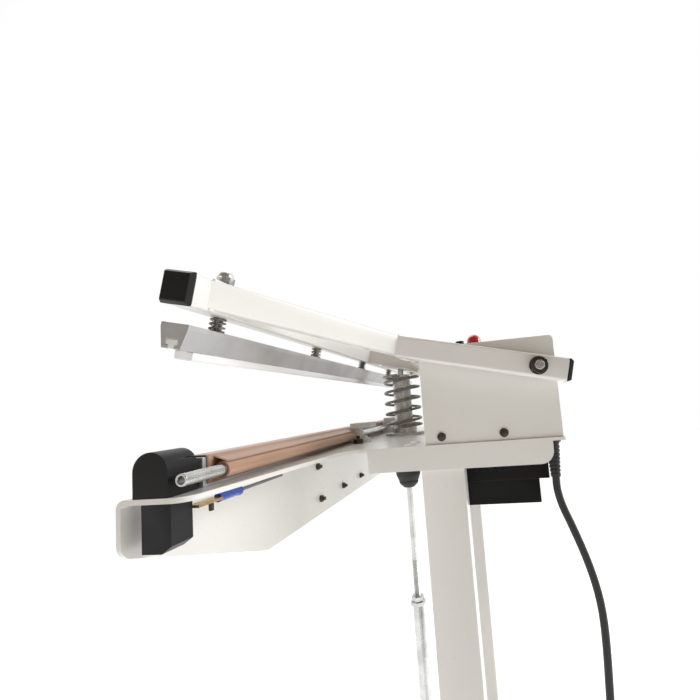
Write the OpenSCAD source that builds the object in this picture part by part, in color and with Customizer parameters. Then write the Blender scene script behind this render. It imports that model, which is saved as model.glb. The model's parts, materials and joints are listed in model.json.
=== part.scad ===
// Foot operated impulse heat sealer on a two-post stand.
// Frame: +Z up, the sealing jaws run along X, the operator stands at -Y.
// Origin: centre of the footprint on the floor. The jaws are drawn open.

/* [Jaws] */
// Length of the lower jaw along X
jaw_len = 734; // [640:2:800]
// Length of the upper square tube along X
beam_len = 716; // [620:2:780]
// Width over the upper square tube and the levers
tube_w = 20; // [18:1:25]
// Opening angle of the arm above level
open_angle = 13.7; // [8:0.1:15]

/* [Bed plate] */
// Width of the body part of the bed plate
body_w = 360; // [300:2:400]
// Height of the bed plate's top above the floor
bed_z = 780; // [700:5:900]
// Thickness of the bed sheet
sheet = 3; // [2:0.5:4]
// Depth of the front web at the middle
web_deep = 76; // [60:1:90]
// Depth of the front web at its ends
web_end = 33; // [26:1:45]

/* [Control box] */
// Depth of the control box along Y
box_d = 126; // [100:1:150]
// Height of the control box
box_h = 93; // [70:1:120]

/* [Stand] */
// Side of the square posts
post_w = 40; // [30:1:50]
// Length of the floor runners
runner_len = 350; // [320:5:420]

/* [Cord] */
// Diameter of the mains cord
cord_d = 7; // [6:0.5:8]

/* [Hidden] */
$fn = 48;

wall = 1.5;             // wall of the square tubes
gap = 0.4;              // room between pieces that move past each other
fit = 0.05;             // radial clearance of a running fit

// ---- places worked out from the driving sizes ----
bed_under = bed_z - sheet;
web_y = -161;           // outer face of the front web
bed_rear = 107;
seal_y = -136;          // middle of the sealing line
block_y = -140;         // middle of the jaw's end blocks
block_w = 21.6;
slot_l = 16.2;          // slot in the bed for the end block's lower part
slot_w = 18.2;
box_y0 = bed_rear - 1 - box_d;
box_y1 = bed_rear - 1;
box_x = body_w / 2 - 2;
box_z = bed_z + box_h;
box_t = 1.5;
side_screw_y = [box_y0 + 16, 54];
pivot_y = 88;
pivot_z = bed_z + 64;
pivot_r = 4;
lever_x = body_w / 2 + 11;        // middle of the lever tube
reach = 221;                      // pivot to the middle of the front tube
lever_front = 127.5;
lever_rear = 25;
bar_half = jaw_len / 2 - 27;      // half length of the lower bar
bar_top = bed_z + 18.6;
bar_w = 14;
press_top = -20;                  // top of the pressure bar, in the arm's frame
press_y = -reach - 2;             // middle of the pressure bar, in the arm's frame
press_half = beam_len / 2 - 4;
press_h = 15.5;
rubber_h = 5.5;
screw_x = [-318, -159, 0, 159, 318];
rod_y = -76;                      // axis of the pull rod
rod_r = 4;
sleeve_r = 12.5;
bush_r = 17;
spring_r = 24;                    // middle radius of the return spring
spring_wire = 3.6;
spring_z0 = bed_z + 10;
spring_z1 = bed_z + 84;
spring_turns = 6;
roll_y = -122;
roll_z = bed_z + 8.8;
roll_r = 4.9;
post_x = body_w / 2 - sheet - post_w / 2;
post_y = -6;
foot_h = 10;
runner_z = foot_h + post_w / 2;
pedal_y = 80;
pedal_z = 62;
pedal_up = 14.5;                  // pedal angle above level at rest
pedal_shaft_r = 5;
joint_z = pedal_z + (pedal_y - rod_y) * tan(pedal_up);
adjust_z = 553;                   // nuts between the thin rod and the tube
brace_angle = 30;
tie_w = 12;
rod_slot = [-172.3, -162.3];      // ends of the slot for the rod, in the arm's frame
lamp_at = [158, 34];
button_at = [142, 19];
knob_at = [0, 43];
switch_at = [-29, -58, 716];
core_at = [0, 33, bed_z - 44];
gland_at = [160, 98];
gland_z = 742;                    // lower end of the cord's strain relief
saddle_x = 73;

// ---- cord route: round numbers, hanging down the back to a coil on the floor ----
cord_route = [[160, 98, 742], [160, 98, 730], [160, 101, 715], [160, 108, 695],
  [160, 116, 670], [160, 122, 645], [160, 125, 620], [160, 125, 590], [160, 123, 550],
  [160, 121, 510], [159, 120, 460], [156, 121, 400], [152, 124, 340], [147, 129, 280],
  [141, 135, 220], [135, 141, 165], [130, 147, 120], [125, 154, 84], [119, 163, 58],
  [112, 176, 41], [104, 192, 33], [93.3, 211.8, 30.4]];
cord_sides = 10;
coil_in = 34.5;         // the turns lie stacked between these two radii
coil_out = 50;
coil_h = 34.4;
coil_at = [60, 192.5, 0.1];
plug_at = [24, 238.5, 0.1];

function vsub(a, b) = [a[0] - b[0], a[1] - b[1], a[2] - b[2]];
function unit(v) = v / norm(v);

// ---- shared shapes ----
module tube_along_x(half, w, h, t = wall) {
  difference() {
    translate([-half, -w / 2, -h / 2]) cube([2 * half, w, h]);
    translate([-half - 1, -w / 2 + t, -h / 2 + t]) cube([2 * half + 2, w - 2 * t, h - 2 * t]);
  }
}
module tube_along_y(y0, y1, w, h, t = wall) {
  difference() {
    translate([-w / 2, y0, -h / 2]) cube([w, y1 - y0, h]);
    translate([-w / 2 + t, y0 - 1, -h / 2 + t]) cube([w - 2 * t, y1 - y0 + 2, h - 2 * t]);
  }
}
module tube_along_z(z0, z1, w, t = 2) {
  difference() {
    translate([-w / 2, -w / 2, z0]) cube([w, w, z1 - z0]);
    translate([-w / 2 + t, -w / 2 + t, z0 - 1]) cube([w - 2 * t, w - 2 * t, z1 - z0 + 2]);
  }
}
module hex(af, h) { cylinder(d = af / cos(30), h = h, $fn = 6); }
module hex_nut(af, h, r) {
  difference() {
    hex(af, h);
    translate([0, 0, -1]) cylinder(r = r, h = h + 2);
  }
}
module along_x() { rotate([0, 90, 0]) children(); }
module mirror_x() {
  children();
  mirror([1, 0, 0]) children();
}
// Carries a shape drawn in the level arm's frame to the open arm.
module in_arm() {
  translate([0, pivot_y, pivot_z]) rotate([-open_angle, 0, 0]) children();
}
module in_pedal() {
  translate([0, pedal_y, pedal_z]) rotate([-pedal_up, 0, 0]) children();
}

// ---- bed plate: a T-shaped folded sheet ----
function arc(cx, cy, r, a0, a1, n = 8) =
  [for (i = [0:n]) [cx + r * cos(a0 + (a1 - a0) * i / n), cy + r * sin(a0 + (a1 - a0) * i / n)]];

module web_profile() {
  // folded L section, drawn in (Y, Z)
  polygon(concat(
    [[web_y, bed_z - web_deep]],
    arc(web_y + 5, bed_z - 5, 5, 180, 90),
    [[-96, bed_z], [-96, bed_under]],
    arc(web_y + 5, bed_z - 5, 2, 90, 180),
    [[web_y + sheet, bed_z - web_deep]]));
}
module jaw_plan() {
  half = jaw_len / 2;
  tip_y = -117;
  polygon(concat(
    [[-half, web_y], [half, web_y]],
    arc(half - 12, tip_y - 12, 12, 0, 80),
    [[body_w / 2 + 26, -101]],
    arc(body_w / 2 + 24, -77, 24, 270, 180),
    arc(-body_w / 2 - 24, -77, 24, 0, -90),
    [[-body_w / 2 - 26, -101]],
    arc(-half + 12, tip_y - 12, 12, 100, 180)));
}
module web_elevation() {
  half = jaw_len / 2;
  polygon(concat(
    [[-half, bed_z + 1], [half, bed_z + 1]],
    arc(half - 9, bed_z - web_end + 9, 9, 0, -80),
    [[225, bed_z - web_deep], [-225, bed_z - web_deep]],
    arc(-half + 9, bed_z - web_end + 9, 9, 260, 180)));
}
module side_flange() {
  // flange along the plate's side with a rounded lower rear corner
  translate([body_w / 2 - sheet, 0, 0]) rotate([90, 0, 90]) linear_extrude(sheet)
    polygon(concat([[-77, bed_z], [-77, bed_z - 23]], arc(84, bed_z - 11, 12, -90, 0),
      [[96, bed_z]]));
}
module bed_plate() {
  color("ivory") difference() {
    union() {
      intersection() {
        rotate([90, 0, 90]) translate([0, 0, -jaw_len / 2]) linear_extrude(jaw_len) web_profile();
        linear_extrude(bed_z + 2) jaw_plan();
        rotate([90, 0, 0]) translate([0, 0, -200]) linear_extrude(400)
          web_elevation();
      }
      translate([0, 0, bed_under]) linear_extrude(sheet) intersection() {
        jaw_plan();
        translate([-jaw_len / 2, -96.5]) square([jaw_len, 30]);
      }
      translate([-body_w / 2, -78, bed_under]) cube([body_w, bed_rear + 78, sheet]);
      mirror_x() side_flange();
    }
    // hole for the guide bush, end block slots, cord and post bolt holes
    translate([0, rod_y, bed_under - 1]) cylinder(r = bush_r - 2, h = sheet + 2);
    mirror_x() translate([jaw_len / 2 - 20.1, block_y - slot_w / 2, bed_under - 1])
      cube([slot_l, slot_w, sheet + 2]);
    translate([gland_at[0], gland_at[1], bed_under - 1]) cylinder(r = 6, h = sheet + 2);
    for (p = bolt_places()) translate([p[0], p[1], bed_under - 1]) cylinder(r = 3, h = sheet + 2);
    for (p = web_screw_places()) translate([p[0], web_y - 1, p[1]]) rotate([-90, 0, 0])
      cylinder(r = 2, h = sheet + 2);
    mirror_x() for (x = [saddle_x + 8, saddle_x + 32]) translate([x, roll_y + 12, bed_under - 1])
      cylinder(r = 2, h = sheet + 2);
  }
}
function bolt_places() = [for (sx = [-1, 1], dx = [-13, 13], dy = [-30, 30])
  [sx * post_x + dx, post_y + dy]];
function web_screw_places() = concat([for (x = [-110, -37, 37, 110]) [x, bed_z - 59]],
  [for (x = [-115, 115]) [x, bed_z - 22]]);

module panel_screws() {
  // screws through the web and screws that hold the box sides, each with its nut
  color("dimgray") for (p = web_screw_places()) translate([p[0], web_y, p[1]]) rotate([-90, 0, 0])
    panel_screw(sheet);
  color("dimgray") for (sx = [-1, 1], y = side_screw_y)
    translate([sx * box_x, y, bed_z + 7]) rotate([0, -90 * sx, 0]) panel_screw(box_t);
}
module panel_screw(thick) {
  translate([0, 0, -2]) cylinder(r = 3.6, h = 2);
  cylinder(r = 2, h = thick + 6);
  translate([0, 0, thick]) hex_nut(7, 3, 2);
}

// ---- stand ----
module post(sx) {
  color("ivory") {
    translate([sx * post_x, post_y, 0]) tube_along_z(foot_h + post_w, bed_under - 4, post_w);
    difference() {
      translate([sx * post_x - post_w / 2, post_y - 40, bed_under - 4]) cube([post_w, 80, 4]);
      for (dx = [-13, 13], dy = [-30, 30]) translate([sx * post_x + dx, post_y + dy, bed_under - 5])
        cylinder(r = 3, h = 6);
    }
  }
}
module post_left() { post(-1); }
module post_right() { post(1); }
module post_bolts() {
  color("ivory") for (p = bolt_places()) translate([p[0], p[1], 0]) {
    translate([0, 0, bed_z]) cylinder(r1 = 6.5, r2 = 4.5, h = 2);
    translate([0, 0, bed_under - 14]) cylinder(r = 3, h = sheet + 14);
    translate([0, 0, bed_under - 9]) hex_nut(10, 5, 3);
  }
}
module runner(sx) {
  color("ivory") difference() {
    translate([sx * post_x, 0, runner_z]) tube_along_y(-runner_len / 2, runner_len / 2, post_w, post_w, 2);
    for (y = [-1, 1] * (runner_len / 2 - 22)) translate([sx * post_x, y, foot_h - 1])
      cylinder(r = 3, h = 6);
  }
}
module runner_left() { runner(-1); }
module runner_right() { runner(1); }
module runner_caps() {
  color([0.08, 0.08, 0.08]) for (sx = [-1, 1], sy = [-1, 1])
    translate([sx * post_x, sy * runner_len / 2, runner_z]) scale([1, sy, 1]) {
      translate([-post_w / 2, 0, -post_w / 2]) cube([post_w, 3, post_w]);
      translate([-post_w / 2 + 2, -14, -post_w / 2 + 2]) cube([post_w - 4, 14, post_w - 4]);
    }
}
module rubber_feet() {
  color([0.08, 0.08, 0.08]) for (sx = [-1, 1], sy = [-1, 1])
    translate([sx * post_x, sy * (runner_len / 2 - 22), 0]) {
      cylinder(r1 = 17, r2 = 14, h = foot_h);
      translate([0, 0, foot_h]) cylinder(r = 3, h = 2);
    }
}
module rear_cross_tube() {
  color("ivory") {
    translate([0, pedal_y + 42, runner_z]) tube_along_x(post_x - post_w / 2, 30, 30, 2);
    for (sx = [-1, 1]) difference() {
      translate([sx * 52 - 2.5, pedal_y - 14, runner_z - 15]) cube([5, 41, 46]);
      translate([sx * 52 - 3.5, pedal_y, pedal_z]) along_x() cylinder(r = pedal_shaft_r, h = 7);
    }
  }
}
module pedal_shaft() {
  color("silver") translate([-60, pedal_y, pedal_z]) along_x() {
    cylinder(r = pedal_shaft_r, h = 120);
    translate([0, 0, 1.5]) ring(8, pedal_shaft_r, 2);
    translate([0, 0, 116.5]) ring(8, pedal_shaft_r, 2);
  }
}
module ring(r_out, r_in, h) {
  difference() {
    cylinder(r = r_out, h = h);
    translate([0, 0, -1]) cylinder(r = r_in, h = h + 2);
  }
}

// ---- control box ----
module box_cover() {
  outer = concat([[box_y0, bed_z]], arc(box_y0 + 4, box_z - 4, 4, 180, 90),
    arc(box_y1 - 4, box_z - 4, 4, 90, 0), [[box_y1, bed_z]]);
  inner = concat([[box_y1 - box_t, bed_z]], arc(box_y1 - 4, box_z - 4, 2.5, 0, 90),
    arc(box_y0 + 4, box_z - 4, 2.5, 90, 180), [[box_y0 + box_t, bed_z]]);
  color("ivory") difference() {
    rotate([90, 0, 90]) translate([0, 0, -box_x + box_t]) linear_extrude(2 * (box_x - box_t))
      polygon(concat(outer, inner));
    translate([lamp_at[0], lamp_at[1], box_z - 3]) cylinder(r = 5, h = 6);
    translate([button_at[0], button_at[1], box_z - 3]) cylinder(r = 6, h = 6);
    translate([knob_at[0], knob_at[1], box_z - 3]) cylinder(r = 3.5, h = 6);
  }
}
module box_side(sx) {
  color("ivory") difference() {
    translate([sx * box_x - (sx > 0 ? box_t : 0), 0, 0]) rotate([90, 0, 90]) linear_extrude(box_t)
      polygon(concat([[box_y0, bed_z]], arc(box_y0 + 4, box_z - 4, 4, 180, 90),
        arc(box_y1 - 4, box_z - 4, 4, 90, 0), [[box_y1, bed_z]]));
    translate([sx * box_x - 3, pivot_y, pivot_z]) along_x() cylinder(r = pivot_r, h = 6);
    for (y = side_screw_y) translate([sx * box_x - 3, y, bed_z + 7]) along_x()
      cylinder(r = 2, h = 6);
  }
}
module box_side_left() { box_side(-1); }
module box_side_right() { box_side(1); }
module pivot_shaft() {
  half = lever_x + tube_w / 2 + 10;
  color("gray") translate([-half, pivot_y, pivot_z]) along_x() cylinder(r = pivot_r, h = 2 * half);
}
module pivot_nuts() {
  color([0.15, 0.15, 0.15]) mirror_x() translate([0, pivot_y, pivot_z]) along_x() {
    translate([0, 0, lever_x + tube_w / 2 + gap]) ring(8, pivot_r, 1.2);
    translate([0, 0, lever_x + tube_w / 2 + gap + 1.2]) hex_nut(13, 6.5, pivot_r);
    translate([0, 0, box_x - box_t - 6]) hex_nut(13, 6, pivot_r);
  }
}
module transformer_housing() {
  upper_y = [-31, 97];
  lower_y = [-21, 87];
  half = 125;
  upper_z = bed_z - 46;
  lower_z = bed_z - 71;
  t = 2;
  color([0.1, 0.1, 0.1]) difference() {
    union() {
      translate([-half, upper_y[0], upper_z])
        cube([2 * half, upper_y[1] - upper_y[0], bed_under - upper_z]);
      translate([-half + 4, lower_y[0], lower_z]) cube([2 * half - 8, lower_y[1] - lower_y[0],
        upper_z - lower_z + 1]);
    }
    translate([-half + t, upper_y[0] + t, upper_z + t])
      cube([2 * (half - t), upper_y[1] - upper_y[0] - 2 * t, bed_under - upper_z]);
    translate([-half + 4 + t, lower_y[0] + t, lower_z + t])
      cube([2 * (half - 4 - t), lower_y[1] - lower_y[0] - 2 * t, upper_z - lower_z + 2]);
  }
}
module transformer_core() {
  color("dimgray") translate(core_at) difference() {
    translate([-42, -30, -25]) cube([84, 60, 62]);
    for (x = [-28, 8]) translate([x, -31, -11]) cube([20, 62, 34]);
  }
}
module transformer_coil() {
  color("goldenrod") translate(core_at) difference() {
    translate([-27.5, -42, -10.5]) cube([55, 84, 33]);
    translate([-8.3, -30.3, -11]) cube([16.6, 60.6, 34]);
  }
}
module timer_board() {
  color("darkgreen") {
    difference() {
      translate([-60, box_y0 + 24, box_z - 36]) cube([120, 70, 1.6]);
      for (x = [-54, 54], y = [box_y0 + 30, box_y0 + 88]) translate([x, y, box_z - 37])
        cylinder(r = 1.6, h = 4);
    }
    translate([-48, box_y0 + 32, box_z - 34.4]) cube([19, 15.5, 15]);
    translate([28, box_y0 + 34, box_z - 34.4]) cylinder(r = 6.5, h = 13);
    translate([knob_at[0], knob_at[1], box_z - 34.4]) cylinder(r = 8, h = 20);
    for (x = [-54, 54], y = [box_y0 + 30, box_y0 + 88]) translate([x, y, box_z - 34.4])
      cylinder(r = 1.5, h = 32.9);
  }
}
module terminal_block() {
  color("beige") translate([66, 10, bed_z]) difference() {
    cube([60, 18, 15]);
    for (i = [0:4]) {
      translate([8 + 11 * i, 9, 6]) cylinder(r = 2.6, h = 10);
      translate([8 + 11 * i, -1, 6]) rotate([-90, 0, 0]) cylinder(r = 1.8, h = 20);
    }
  }
}
module lamp_lens() {
  color("red") translate([lamp_at[0], lamp_at[1], box_z + 2]) rotate_extrude()
    polygon(concat([[0, 0], [6.8, 0], [6.8, 2]], arc(0, 2, 6.8, 0, 90)));
}
module lamp_base() {
  color("silver") translate([lamp_at[0], lamp_at[1], 0]) {
    translate([0, 0, box_z]) cylinder(r = 7.6, h = 2);
    translate([0, 0, box_z - 18]) cylinder(r = 5, h = 18);
    translate([0, 0, box_z - box_t - 3]) hex_nut(13, 3, 5);
  }
}
module power_button() {
  color([0.08, 0.08, 0.08]) translate([button_at[0], button_at[1], box_z - 8]) {
    cylinder(r = 4.5 - fit, h = 16);
  }
}
module button_bezel() {
  color([0.12, 0.12, 0.12]) translate([button_at[0], button_at[1], 0]) {
    translate([0, 0, box_z]) ring(8, 4.5, 2.5);
    translate([0, 0, box_z - 11]) ring(6, 4.5, 11);
    difference() {
      translate([-8, -8, box_z - 30]) cube([16, 16, 19]);
      translate([0, 0, box_z - 15]) cylinder(r = 4.5, h = 5);
    }
    translate([0, 0, box_z - box_t - 3]) hex_nut(15, 3, 6);
  }
}
module timer_knob() {
  color([0.1, 0.1, 0.1]) translate([knob_at[0], knob_at[1], box_z + 1.6]) difference() {
    union() {
      cylinder(r1 = 12, r2 = 11, h = 4);
      translate([0, 0, 4]) cylinder(r1 = 9.5, r2 = 8.8, h = 11);
      translate([-1, 0, 4]) cube([2, 11, 9]);
    }
    translate([0, 0, -1]) cylinder(r = 3, h = 10);
  }
  color("silver") translate([knob_at[0], knob_at[1], box_z - 14]) cylinder(r = 3, h = 24.6);
}
module dial_plate() {
  color("gray") translate([knob_at[0], knob_at[1], box_z]) ring(22, 3.5, 1.2);
}
module limit_switch() {
  // snap switch on a bracket under the bed, with the lever's pivot ears at its front
  color([0.1, 0.1, 0.1]) translate(switch_at) difference() {
    union() {
      cube([10, 28, 16]);
      for (x = [0, 8]) translate([x, -4, 9]) cube([2, 4, 6]);
    }
    translate([-1, -2, 12]) along_x() cylinder(r = 1 + fit, h = 12);
  }
  color("silver") {
    translate(switch_at + [10, 4, 0]) cube([1.5, 20, bed_under - switch_at[2]]);
    translate([switch_at[0] + 10, switch_at[1] + 4, bed_under - 1.5]) cube([14, 20, 1.5]);
  }
}
module switch_lever() {
  color("silver") translate(switch_at + [0, -2, 12]) {
    translate([-0.6, 0, 0]) along_x() cylinder(r = 1, h = 11.2);
    rotate([24, 0, 0]) translate([2.4, -17, -0.6]) cube([5.2, 17, 1.2]);
    rotate([24, 0, 0]) translate([2.4, -17, -0.6]) along_x() cylinder(r = 1.6, h = 5.2);
  }
}

// ---- lower jaw ----
module lower_bar() {
  color("silver") translate([-bar_half, seal_y - bar_w / 2, bed_z]) difference() {
    cube([2 * bar_half, bar_w, bar_top - bed_z - 1]);
    translate([-1, 3, -1]) cube([2 * bar_half + 2, bar_w - 6, 11]);
  }
}
module heater_strip() {
  color("silver") translate([-bar_half, seal_y - 2.5, bar_top - 1]) cube([2 * bar_half, 5, 0.4]);
}
module ptfe_cloth() {
  color([0.62, 0.45, 0.34]) difference() {
    translate([-bar_half + 3, seal_y - bar_w / 2 - 0.6, bed_z + 1.5])
      cube([2 * bar_half - 6, bar_w + 1.2, bar_top - bed_z - 1.5]);
    translate([-bar_half, seal_y - bar_w / 2, bed_z]) cube([2 * bar_half, bar_w, bar_top - bed_z - 0.6]);
  }
}
module roll_rod() {
  color("silver") translate([-jaw_len / 2 + 1, roll_y, roll_z]) along_x()
    difference() {
      cylinder(r = 3.5, h = jaw_len - 2);
      for (z = [-1, jaw_len - 7]) translate([0, 0, z]) cylinder(r = 2.2, h = 6);
    }
}
module cloth_roll() {
  color([0.62, 0.45, 0.34]) mirror_x() translate([88, roll_y, roll_z]) along_x()
    ring(roll_r, 3.5, 244);
}
module end_block(sx) {
  half_w = block_w / 2;
  shoulder = 13.7;
  color([0.08, 0.08, 0.08]) translate([sx * (jaw_len / 2 - 23.2), block_y, bed_z]) scale([sx, 1, 1]) {
    difference() {
      union() {
        translate([0, -half_w, 0]) cube([23, 2 * half_w, shoulder]);
        translate([0, 0, shoulder]) along_x() intersection() {
          cylinder(r = half_w, h = 23);
          translate([-half_w - 1, -half_w - 1, 0]) cube([half_w + 1, 2 * half_w + 2, 23]);
        }
      }
      translate([-1, -5.5, 15.5]) cube([8.5, 15, 4]);
    }
    // lower part through the bed, its rear lower corner cut off
    translate([3.1, 0, 0]) rotate([90, 0, 90]) linear_extrude(slot_l)
      polygon([[-slot_w / 2, 0], [-slot_w / 2, -30], [slot_w / 2 - 6, -30], [slot_w / 2, -26],
        [slot_w / 2, 0]]);
  }
}
module end_block_left() { end_block(-1); }
module end_block_right() { end_block(1); }
module wire_clips() {
  // tension clip, crimp terminal, screw and lead under each end of the jaw
  lead_l = 60;
  apart = 0.1;
  mirror_x() translate([jaw_len / 2 - 36, block_y + 9, bed_under - 6.5]) {
    color("goldenrod") translate([-6, -4, -0.8]) cube([21.4, 8, 1.6]);
    color("royalblue") translate([-26 - apart, 0, 0]) along_x() cylinder(r = 2.8, h = 20);
    color("gray") translate([0, 0, -6 - apart]) cylinder(r = 1.5, h = 5.2);
    color("dimgray") translate([-26 - 2 * apart - lead_l, 0, 0]) along_x() cylinder(r = 1.2, h = lead_l);
  }
}
module roll_saddles() {
  color("whitesmoke") mirror_x() translate([saddle_x, roll_y, bed_z]) difference() {
    union() {
      translate([0, -5.5, 0]) cube([14, 23, 4]);
      translate([0, -5.5, 0]) cube([14, 14, 17.5]);
      translate([-4, -2, 17]) cube([22, 26, 6]);
    }
    translate([-1, 0, roll_z - bed_z]) along_x() cylinder(r = 3.5 + fit, h = 16);
    translate([8, 12, -1]) cylinder(r = 2, h = 6);
  }
  color("dimgray") mirror_x() translate([saddle_x + 8, roll_y + 12, 0]) {
    translate([0, 0, bed_z + 4]) hex(7, 3);
    translate([0, 0, bed_under - 5]) cylinder(r = 2, h = sheet + 9);
  }
  color("dimgray") mirror_x() translate([saddle_x + 32, roll_y + 12, 0]) {
    translate([0, 0, bed_z]) hex(10, 5);
    translate([0, 0, bed_under - 5]) cylinder(r = 2, h = sheet + 14);
  }
}
module guide_bush() {
  color("silver") translate([0, rod_y, 0]) {
    difference() {
      union() {
        translate([0, 0, bed_z]) cylinder(r = spring_r + 3, h = 3);
        translate([0, 0, bed_z + 3]) cylinder(r = bush_r, h = spring_z0 - bed_z - 3);
        translate([0, 0, bed_under - 8]) cylinder(r = bush_r - 2, h = 8 + sheet);
        translate([0, 0, bed_under - 5]) hex(2 * bush_r, 5);
      }
      translate([0, 0, bed_under - 9]) cylinder(r = sleeve_r + fit, h = 40);
    }
  }
}
module coil_spring(r, wire, z0, z1, turns, steps = 14) {
  // closed wire coil, swept with a six-sided section
  n = turns * steps;
  sides = 6;
  pitch = (z1 - z0 - wire) / n;
  points = [for (i = [0:n]) let (a = 360 * i / steps) for (k = [0:sides - 1])
    let (b = 360 * k / sides, q = r + wire / 2 * cos(b))
    [q * cos(a), q * sin(a), z0 + wire / 2 + pitch * i + wire / 2 * sin(b)]];
  faces = concat([[for (k = [0:sides - 1]) k]],
    [[for (k = [0:sides - 1]) n * sides + sides - 1 - k]],
    [for (i = [0:n - 1], k = [0:sides - 1]) let (m = (k + 1) % sides)
      [i * sides + k, (i + 1) * sides + k, (i + 1) * sides + m, i * sides + m]]);
  polyhedron(points, faces, convexity = 10);
}
module return_spring() {
  color("gray") translate([0, rod_y, 0])
    coil_spring(spring_r, spring_wire, spring_z0, spring_z1, spring_turns);
}

// ---- arm ----
module front_tube() {
  color("ivory") in_arm() translate([0, -reach, 0]) difference() {
    tube_along_x(beam_len / 2, tube_w, tube_w);
    for (x = screw_x) translate([x, press_y + reach, -tube_w]) cylinder(r = 3.5, h = 2 * tube_w);
  }
}
module lever(sx) {
  color("ivory") in_arm() translate([sx * lever_x, 0, 0]) difference() {
    tube_along_y(-lever_front, lever_rear, tube_w, tube_w);
    translate([-tube_w, 0, 0]) along_x() cylinder(r = 6, h = 2 * tube_w);
  }
}
module lever_left() { lever(-1); }
module lever_right() { lever(1); }
module brace_outline(inset) {
  // strip from the lever's front end to the back of the front tube, seen from above
  wide = 18;
  x0 = lever_x + tube_w / 2;
  y0 = -lever_front;
  y1 = -reach + tube_w / 2;
  run = (y0 - y1) / tan(brace_angle);
  across = wide / sin(brace_angle);
  edge = inset / sin(brace_angle);
  polygon([[x0 - edge, y0], [x0 + run - edge, y1], [x0 + run - across + edge, y1],
    [x0 - across + edge, y0]]);
}
module arm_braces() {
  high = 18;
  color("ivory") in_arm() mirror_x() translate([0, 0, tube_w / 2 - high]) difference() {
    linear_extrude(high) brace_outline(0);
    translate([0, 0, wall]) linear_extrude(high - 2 * wall) brace_outline(wall);
  }
}
module arm_ties() {
  // tube between the levers, the stub out to the front tube and its spring cup
  color("ivory") in_arm() difference() {
    union() {
      translate([0, -lever_front + tie_w / 2, 0]) tube_along_x(lever_x - tube_w / 2, tie_w, tube_w);
      tube_along_y(-reach + tube_w / 2, -lever_front, tube_w, tube_w);
      translate([0, -167, -tube_w / 2 - 2.5]) cylinder(r = spring_r + 2, h = 2.5);
    }
    for (y = rod_slot) translate([0, y, -tube_w]) cylinder(r = rod_r + 0.8, h = 2 * tube_w);
    translate([-rod_r - 0.8, rod_slot[0], -tube_w])
      cube([2 * rod_r + 1.6, rod_slot[1] - rod_slot[0], 2 * tube_w]);
  }
}
module cap_plug(w) {
  // chamfered cap over a tube's end with a plug inside, facing +X
  intersection() {
    translate([0, -w / 2, -w / 2]) cube([4, w, w]);
    translate([-12, 0, 0]) rotate([0, 90, 0]) rotate([0, 0, 45])
      cylinder(d1 = 2.4 * w, d2 = 1.16 * w, h = 16.4, $fn = 4);
  }
  translate([-10, -w / 2 + wall, -w / 2 + wall]) cube([10, w - 2 * wall, w - 2 * wall]);
}
module tube_caps() {
  color([0.08, 0.08, 0.08]) in_arm() {
    mirror_x() translate([beam_len / 2, -reach, 0]) cap_plug(tube_w);
    for (sx = [-1, 1]) translate([sx * lever_x, lever_rear, 0]) rotate([0, 0, 90]) cap_plug(tube_w);
  }
}
module pivot_bushes() {
  color("goldenrod") in_arm() mirror_x() translate([lever_x - tube_w / 2, 0, 0]) along_x()
    ring(6, pivot_r + fit, tube_w);
}

// ---- pressure bar ----
module pressure_bar() {
  color("lightgray") in_arm() translate([-press_half, press_y, press_top]) rotate([90, 0, 90])
    linear_extrude(2 * press_half) difference() {
      polygon([[-9.5, 0], [9.5, 0], [9.5, -3], [6.5, -press_h], [-6.5, -press_h], [-9.5, -3]]);
      polygon([[-2, -press_h - 1], [-2, -press_h + 2.5], [-4, -press_h + 2.5], [-4, -press_h + 6],
        [4, -press_h + 6], [4, -press_h + 2.5], [2, -press_h + 2.5], [2, -press_h - 1]]);
    }
}
module rubber_strip() {
  // rail that fills the bar's groove, and a pad that stops short of the end blocks
  pad_half = press_half - 11;
  color([0.93, 0.93, 0.9]) in_arm() translate([0, press_y, press_top - press_h]) rotate([90, 0, 90]) {
    translate([0, 0, -press_half]) linear_extrude(2 * press_half)
      polygon([[-2, 0], [-2, 2.5], [-4, 2.5], [-4, 6], [4, 6], [4, 2.5], [2, 2.5], [2, 0]]);
    translate([0, 0, -pad_half]) linear_extrude(2 * pad_half)
      polygon([[6.5, 0], [6.5, -rubber_h + 1], [5.5, -rubber_h], [-5.5, -rubber_h],
        [-6.5, -rubber_h + 1], [-6.5, 0]]);
  }
}
module guide_screws() {
  // studs through the tube, each with a washer and a domed nut on top
  nut_z = tube_w / 2 + gap + 1.2;
  color("silver") in_arm() for (x = screw_x) translate([x, press_y, 0]) {
    translate([0, 0, press_top]) cylinder(r = 3, h = nut_z - press_top);
    translate([0, 0, nut_z - 1.2]) cylinder(r = 7, h = 1.2);
    translate([0, 0, nut_z]) hex(10, 6);
    translate([0, 0, nut_z + 6]) rotate_extrude()
      polygon(concat([[0, 0]], arc(0, 0, 5, 0, 90)));
  }
}
module pressure_springs() {
  color("gray") in_arm() for (x = screw_x) translate([x, press_y, 0])
    coil_spring(4.6, 1.4, press_top, -tube_w / 2 - 0.2, 3, 10);
}

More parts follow.
